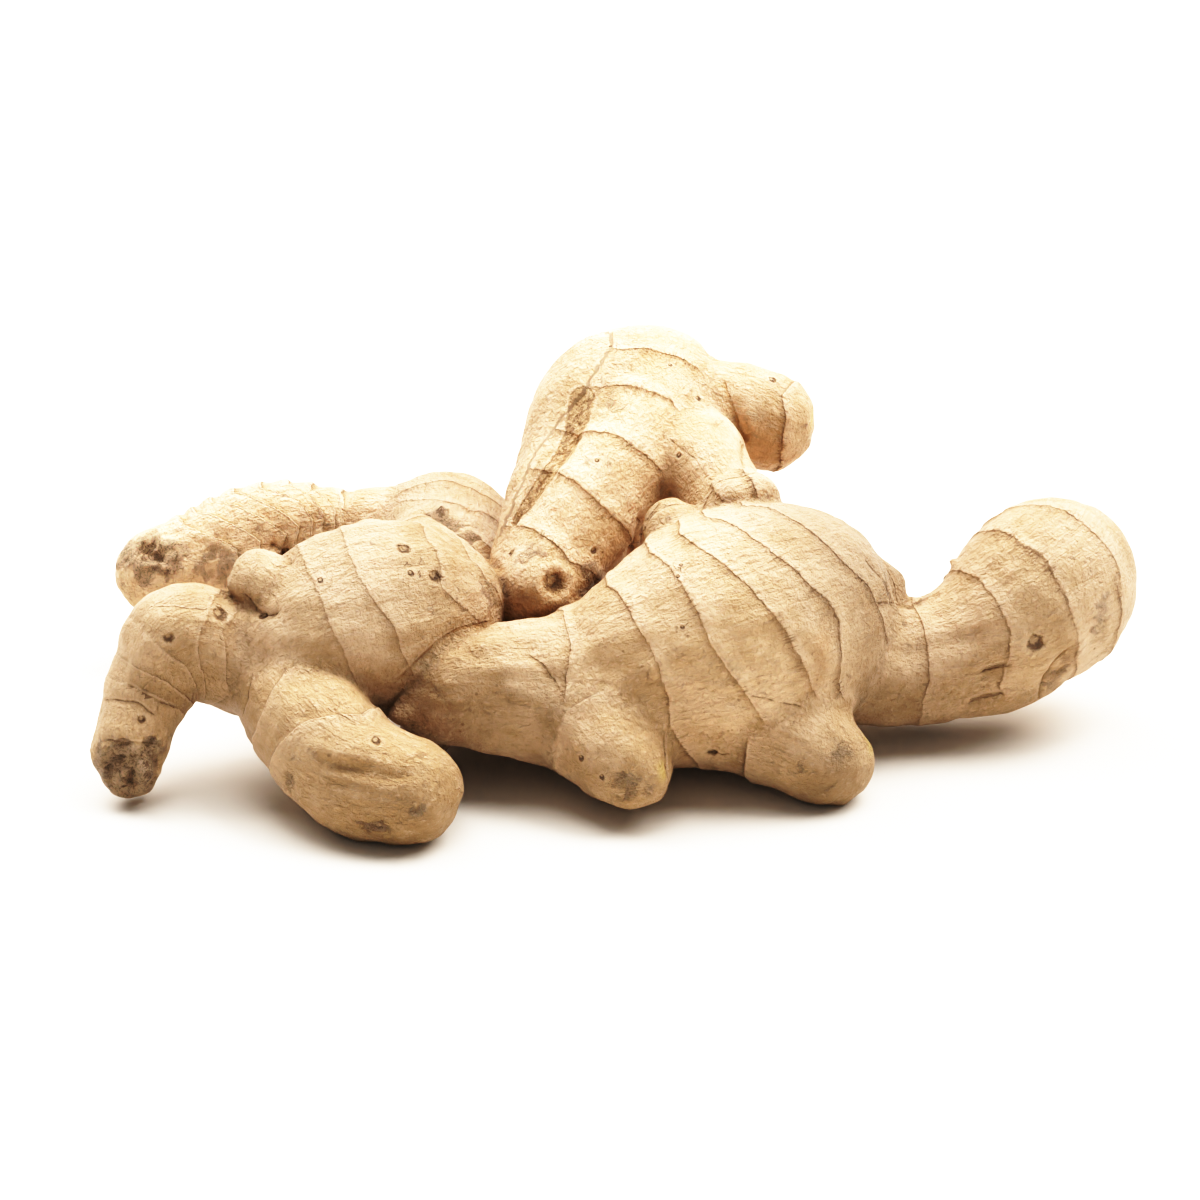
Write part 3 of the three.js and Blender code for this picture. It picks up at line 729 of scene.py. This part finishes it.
# painted light: the tone is raised on upward faces, then evened out over the skin
tone_and_painted_light *= 1 + TOP_PAINTED_LIGHT * step(normals[:, 2], 0.5, 0.95)
for _ in range(3):
    tone_and_painted_light = average(tone_and_painted_light[:, None])[:, 0]
skin = new_mesh("ginger_skin", points, quads)
for name, values in dict(ring=ring, ring_gap=ring_gap, ring_shows=ring_shows, calm=calm, gold=gold,
                         tone_and_painted_light=tone_and_painted_light, flow=flow, crevice_shade=crevice_shade, crack=crack, crack_shows=crack_shows,
                         crack_warm=crack_warm, eye=eye, furrow=furrow, **masks).items():
    keep(skin, name, values)


# ---- materials ----
WHITE = 1.5                             # the light that the picture shows as full white
FILM_SCALE, FILM_POWER = 0.572, 1.75    # the picture's tone curve: soft highlights, deep shadows


def film(x):
    """How bright the picture shows this much light, from 0 to 1."""
    return 1 - math.exp(-(x / FILM_SCALE) ** FILM_POWER)


def colour(red, green, blue):
    """A colour as it looks in the picture in plain light, 0 to 255, as the linear one that nodes take."""
    linear = [((c / 255 + 0.055) / 1.055) ** 2.4 for c in (red, green, blue)]
    return tuple(FILM_SCALE * (-math.log(1 - c)) ** (1 / FILM_POWER) for c in linear) + (1.0,)


class Shader:
    """A material's node tree, written as expressions."""

    def __init__(self, name):
        self.material = bpy.data.materials.new(name)
        self.material.use_nodes = True
        self.tree = self.material.node_tree
        self.surface = self.tree.nodes["Principled BSDF"]

    def put(self, value, socket):
        """Links an output to a socket, or sets the socket to a plain value."""
        if isinstance(value, bpy.types.NodeSocket):
            self.tree.links.new(value, socket)
        else:
            socket.default_value = value

    def node(self, kind, *inputs, **settings):
        n = self.tree.nodes.new(kind)
        for key, value in settings.items():
            setattr(n, key, value)
        for i, value in enumerate(inputs):
            if value is not None:
                self.put(value, n.inputs[i])
        return n

    def math(self, operation, a, b=0.0):
        return self.node("ShaderNodeMath", a, b, operation=operation).outputs[0]

    def mul(self, *values):
        result = values[0]
        for v in values[1:]:
            result = self.math("MULTIPLY", result, v)
        return result

    def add(self, *values):
        result = values[0]
        for v in values[1:]:
            result = self.math("ADD", result, v)
        return result

    def sway(self, value, noise, amount):
        """A number that noise moves up and down."""
        return self.add(value, self.mul(self.math("SUBTRACT", noise, 0.5), amount))

    def length(self, x, y):
        return self.math("SQRT", self.add(self.mul(x, x), self.mul(y, y)))

    def ramp(self, x, low, high, to_low=0.0, to_high=1.0):
        """Goes smoothly from to_low to to_high as x goes from low to high."""
        n = self.node("ShaderNodeMapRange", x, low, high, to_low, to_high)
        n.interpolation_type = "SMOOTHSTEP"
        return n.outputs[0]

    def between(self, x, a, b, c, d):
        """0 below a, 1 from b to c, 0 above d."""
        return self.mul(self.ramp(x, a, b), self.ramp(x, c, d, 1.0, 0.0))

    def noise(self, vector, size, detail=3.0, rough=0.55, warp=0.0):
        n = self.node("ShaderNodeTexNoise")
        self.put(vector, n.inputs["Vector"])
        n.inputs["Scale"].default_value = 1 / size
        n.inputs["Detail"].default_value = detail
        n.inputs["Roughness"].default_value = rough
        n.inputs["Distortion"].default_value = warp
        return n.outputs["Fac"]

    def cells(self, vector, size):
        """Distance from the nearest of many scattered points, in sizes."""
        n = self.node("ShaderNodeTexVoronoi")
        self.put(vector, n.inputs["Vector"])
        n.inputs["Scale"].default_value = 1 / size
        return n.outputs["Distance"]

    def mix(self, share, a, b, blend="MIX"):
        n = self.node("ShaderNodeMix", data_type="RGBA", blend_type=blend)
        self.put(share, n.inputs[0])
        self.put(a, n.inputs[6])
        self.put(b, n.inputs[7])
        return n.outputs[2]

    def paint(self, colour, *shares):
        """Lays a colour over the skin, as strongly as the product of its shares."""
        self.base = self.mix(self.mul(*shares), self.base, colour)

    def mixed(self, share, a, b):
        """A number between a and b."""
        n = self.node("ShaderNodeMix", data_type="FLOAT")
        self.put(share, n.inputs[0])
        self.put(a, n.inputs[2])
        self.put(b, n.inputs[3])
        return n.outputs[0]

    def attribute(self, name, output="Fac"):
        return self.node("ShaderNodeAttribute", attribute_name=name).outputs[output]

    def scaled(self, vector, scale):
        return self.node("ShaderNodeVectorMath", vector, scale, operation="MULTIPLY").outputs[0]


CREAM, TAN, DEEP = colour(243, 219, 180), colour(227, 191, 139), colour(199, 151, 88)
GREY, BROWN, DARK = colour(170, 140, 102), colour(138, 90, 46), colour(80, 50, 27)
ORANGE, CORK, FRESH = colour(198, 132, 60), colour(196, 156, 106), colour(230, 200, 112)
GOLD, STAIN = colour(204, 158, 96), colour(190, 142, 84)

NUB_OFF = (-0.25, 0.3)   # where the nub stands in an eye, in radii

s = Shader("ginger skin")
mm = s.scaled(s.node("ShaderNodeTexCoord").outputs["Object"], (1000.0, 1000.0, 1000.0))
grain = s.attribute("flow", "Vector")
calm, painted_crevice_shade, furrowed = s.attribute("calm"), s.attribute("crevice_shade"), s.attribute("furrow")
corky, grey, fresh, warm = [s.attribute(k) for k in ("corky", "grey", "fresh", "warm")]


def along(share):
    """The grain's coordinates, with lengths along the axis shrunk so that noise stretches that way."""
    return s.scaled(grain, (1.0, 1.0, share))


broad, middling, fine = s.noise(mm, 19, 3), s.noise(mm, 4.5, 4, 0.6), s.noise(mm, 0.6, 2)
even, long_grain = s.noise(mm, 1.25, 5, 0.62, 0.6), s.noise(along(0.35), 1.0, 5, 0.62, 0.5)
crinkle = s.mixed(calm, even, s.mixed(0.5, even, long_grain))
strand = s.mixed(calm, middling, s.noise(along(0.22), 2.2, 4, 0.6, 0.4))

# where a point is from its nearest ring: in mm, in halves of the gap, and in mm from a ragged edge
phase, shows = s.attribute("ring"), s.attribute("ring_shows")
turn = s.math("SUBTRACT", phase, s.math("ROUND", phase))
ring_at, part = s.mul(turn, s.attribute("ring_gap")), s.mul(turn, 2.0)
ragged = s.sway(ring_at, s.noise(mm, 1.3, 3, 0.7), 0.8)
broken = s.ramp(s.noise(mm, 3.6, 3), 0.48, 0.6)
hairs = s.mul(s.between(ring_at, -1.8, -0.3, 0.3, 1.4), s.ramp(s.noise(along(0.12), 0.55, 3), 0.54, 0.62),
              s.ramp(s.noise(mm, 8, 2), 0.45, 0.62), s.ramp(shows, 0.4, 0.9))

# plain skin, stained before a ring and pale after it
s.base = s.mix(s.ramp(broad, 0.35, 0.65), CREAM, TAN)
s.paint(GOLD, s.attribute("gold"), s.ramp(middling, 0.25, 0.6, 0.6, 1.0))
s.paint(DEEP, s.ramp(middling, 0.45, 0.72), 0.35)
s.paint(DEEP, s.ramp(strand, 0.5, 0.72), 0.3)
s.paint(STAIN, s.ramp(part, -0.9, -0.05), s.ramp(ragged, -0.1, 0.1, 1.0, 0.0), shows,
        s.ramp(s.noise(mm, 8, 3), 0.35, 0.65, 0.15, 0.65), s.ramp(strand, 0.3, 0.6, 0.6, 1.0))
s.paint(CREAM, s.ramp(ragged, 0.1, 0.35), s.ramp(part, 0.0, 0.7, 1.0, 0.0), shows, 0.6)
# painted shade in the troughs of the crinkle relief and painted highlight on its ridges
s.paint(DEEP, s.ramp(crinkle, 0.49, 0.33), 0.45)
s.paint(CREAM, s.ramp(crinkle, 0.52, 0.66), 0.6)

# rings: a soft brown band, a ragged brown line that is partly the scar's own brown and partly painted shadow
# along the scale's raised edge, a pale edge and a few hairs
s.paint(BROWN, s.between(ragged, -0.9, -0.1, 0.05, 0.2), shows, 0.3)
s.paint(BROWN, s.between(ragged, -0.25, -0.05, 0.1, 0.22), shows, s.mixed(0.2, broken, 1.0), 0.6)
s.paint(CREAM, s.between(ragged, 0.12, 0.25, 0.45, 0.7), shows, 0.6)
s.paint(BROWN, hairs, 0.65)

# grey skin, painted shade in crevices, orange patches that are partly painted shade, the torn groove, fresh
# skin and specks
s.paint(GREY, grey, s.ramp(s.noise(mm, 2.4, 4, 0.65), 0.4, 0.62), 0.6)
# painted shade in crevices and the groove, orange to brown
s.paint(s.mix(s.ramp(middling, 0.35, 0.65), ORANGE, BROWN), painted_crevice_shade, 0.72)
# orange patches, partly painted shade
s.paint(ORANGE, warm, 0.7)
fibre = s.noise(along(0.5), 0.9, 4, 0.7)
torn_edge = s.sway(furrowed, s.noise(mm, 1.6, 3, 0.65), 0.5)
in_groove = s.ramp(torn_edge, 0.36, 0.48)
s.paint(s.mix(s.ramp(fibre, 0.42, 0.52), BROWN, s.mix(s.ramp(fibre, 0.5, 0.62), STAIN, TAN)), in_groove, 0.85)
s.paint(CREAM, s.between(torn_edge, 0.18, 0.24, 0.3, 0.36), 0.5)
s.paint(FRESH, fresh, 0.9)
s.paint(BROWN, s.ramp(s.cells(mm, 3.4), 0.05, 0.14, 1.0, 0.0), s.ramp(s.noise(mm, 12, 2), 0.5, 0.6), 0.6)

# corky scars
cork, torn = s.noise(mm, 1.1, 5, 0.75, 1.2), s.noise(mm, 3.0, 5, 0.75, 0.6)
deep_cork = s.mul(s.ramp(corky, 0.8, 1.6), s.ramp(torn, 0.49, 0.455))
corky = s.ramp(s.sway(corky, torn, 3.0), 0.3, 1.0)
pale_cork = s.mix(s.ramp(cork, 0.44, 0.52), CORK, CREAM)
s.paint(s.mix(s.ramp(cork, 0.36, 0.43), s.mix(0.25, BROWN, CORK), pale_cork), corky, 0.75)
s.paint(s.mix(s.ramp(cork, 0.42, 0.5), DARK, BROWN), deep_cork, 0.7)

# creases
crack, crack_here = s.attribute("crack"), s.attribute("crack_shows")
crack_at = s.add(s.math("ABSOLUTE", crack), s.ramp(s.noise(mm, 2.6, 3, 0.65), 0.38, 0.62, 1.0, -0.3))
crack_on = s.mul(crack_here, s.ramp(crack_at, 0.3, 1.2, 1.0, 0.0))
s.paint(STAIN, crack_here, s.ramp(crack_at, 1.0, 4.5, 0.45, 0.0))
s.paint(CREAM, crack_here, s.between(crack, 1.0, 1.5, 2.5, 4.0), 0.5)
s.paint(s.mix(s.attribute("crack_warm"), s.mix(0.25, BROWN, DARK), ORANGE), crack_on, 0.55)

# bud eyes: a pale rim, a dark pit and a nub in it
eye_x, eye_y, eye_here = s.node("ShaderNodeSeparateXYZ", s.attribute("eye", "Vector")).outputs
eye_r = s.sway(s.length(eye_x, eye_y), s.noise(mm, 1.2, 3), 1.1)
around = s.between(eye_r, 0.85, 1.05, 1.25, 2.0)
nub = s.sway(s.length(s.add(eye_x, NUB_OFF[0]), s.add(eye_y, NUB_OFF[1])), s.noise(mm, 0.7, 2), 0.5)
nub = s.ramp(nub, 0.3, 0.6, 1.0, 0.0)
pit = s.mul(s.ramp(eye_r, 0.6, 1.0, 1.0, 0.0), eye_here)
s.paint(CREAM, around, eye_here, 0.3)
s.paint(s.mix(s.ramp(eye_r, 0.1, 0.9), DARK, BROWN), pit, 0.9)
s.paint(TAN, pit, nub, 0.8)

# the tone, with its painted light and shade, scales the whole colour
tone_and_painted_light = s.attribute("tone_and_painted_light")
painted_light_and_tone_colour = s.node("ShaderNodeCombineColor", tone_and_painted_light, tone_and_painted_light, tone_and_painted_light).outputs[0]
base = s.mix(1.0, s.base, painted_light_and_tone_colour, "MULTIPLY")

relief = s.add(
    s.mul(crinkle, 2.4), s.mul(strand, 0.6), s.mul(fine, 0.45), s.mul(middling, 0.7),
    s.mul(s.ramp(ragged, -0.15, 0.2), s.ramp(part, 0.5, 0.05), shows, 0.32),
    s.mul(s.between(ragged, 0.0, 0.25, 0.4, 0.8), shows, 0.2),
    s.mul(hairs, -0.25), s.mul(corky, cork, 3.4), s.mul(deep_cork, -1.2), s.mul(crack_on, -0.5),
    s.mul(pit, -0.8), s.mul(pit, nub, 0.7), s.mul(around, eye_here, 0.2),
    s.mul(furrowed, fibre, 1.6), s.mul(in_groove, -0.5))
bump = s.node("ShaderNodeBump")
bump.inputs["Strength"].default_value = 1.0
bump.inputs["Distance"].default_value = 0.001
s.put(relief, bump.inputs["Height"])
s.put(base, s.surface.inputs["Base Color"])
s.put(bump.outputs[0], s.surface.inputs["Normal"])
s.surface.inputs["Roughness"].default_value = 0.5
s.surface.inputs["Specular IOR Level"].default_value = 0.5
s.surface.inputs["Subsurface Weight"].default_value = 0.12
s.surface.inputs["Subsurface Radius"].default_value = (1.0, 0.45, 0.2)
s.surface.inputs["Subsurface Scale"].default_value = 0.002
skin.data.materials.append(s.material)

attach(skin, "root")
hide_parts("rhizome")

# ---- floor, light and camera ----
floor_shader = Shader("white surface")
floor_shader.surface.inputs["Base Color"].default_value = (0.86, 0.82, 0.755, 1)
floor_shader.surface.inputs["Roughness"].default_value = 0.55
floor_shader.surface.inputs["Specular IOR Level"].default_value = 0.25
FLOOR_HALF = 6000
corners = [(x * FLOOR_HALF, y * FLOOR_HALF, 0) for x, y in ((-1, -1), (1, -1), (1, 1), (-1, 1))]
floor = new_mesh("floor", corners, [(0, 1, 2, 3)], False)
floor.data.materials.append(floor_shader.material)

world = bpy.data.worlds.new("white room")
world.use_nodes = True
world.node_tree.nodes["Background"].inputs[0].default_value = (1.0, 1.0, 1.0, 1)
world.node_tree.nodes["Background"].inputs[1].default_value = 0.28
bpy.context.scene.world = world

# wide soft boxes overhead and a little behind: towards the light, and its strength
SOFTBOXES = {"left softbox": ((-0.7, 0.75, 1), 3.05), "right softbox": ((0.75, 0.35, 0.95), 3.85),
             "top softbox": ((0, 0.2, 1), 2.3)}
SOFTBOX_ANGLE, SOFTBOX_COLOUR = math.radians(44), (1, 0.995, 0.985)
for name, (towards, strength) in SOFTBOXES.items():
    light_data = bpy.data.lights.new(name, "SUN")
    light_data.energy, light_data.angle, light_data.color = strength, SOFTBOX_ANGLE, SOFTBOX_COLOUR
    light = bpy.data.objects.new(name, light_data)
    light.rotation_euler = Vector(towards).to_track_quat("Z", "Y").to_euler()
    bpy.context.scene.collection.objects.link(light)

camera_data = bpy.data.cameras.new("camera")
camera_data.sensor_width = SENSOR
camera_data.lens = SENSOR * CAMERA_AWAY / (FRAME_PX * PX_SIZE)
camera_data.clip_start, camera_data.clip_end = 0.05, 50
camera = bpy.data.objects.new("camera", camera_data)
camera.matrix_world = Matrix([*zip(RIGHT, ABOVE, -AHEAD, EYE / 1000), (0, 0, 0, 1)])
bpy.context.scene.collection.objects.link(camera)
bpy.context.scene.camera = camera

# the film's tone curve, which has more of its points among the shadows
CURVE_PARTS, CURVE_BEND = 8, 1.4
view = bpy.context.scene.view_settings
view.view_transform = "Standard"
view.use_curve_mapping = True
view.curve_mapping.white_level = (WHITE, WHITE, WHITE)
curve = view.curve_mapping.curves[3]
for k in range(CURVE_PARTS + 1):
    x = (k / CURVE_PARTS) ** CURVE_BEND
    y = film(x * WHITE) / film(WHITE)
    if k in (0, CURVE_PARTS):
        curve.points[0 if k == 0 else -1].location = (x, y)
    else:
        curve.points.new(x, y)
view.curve_mapping.update()
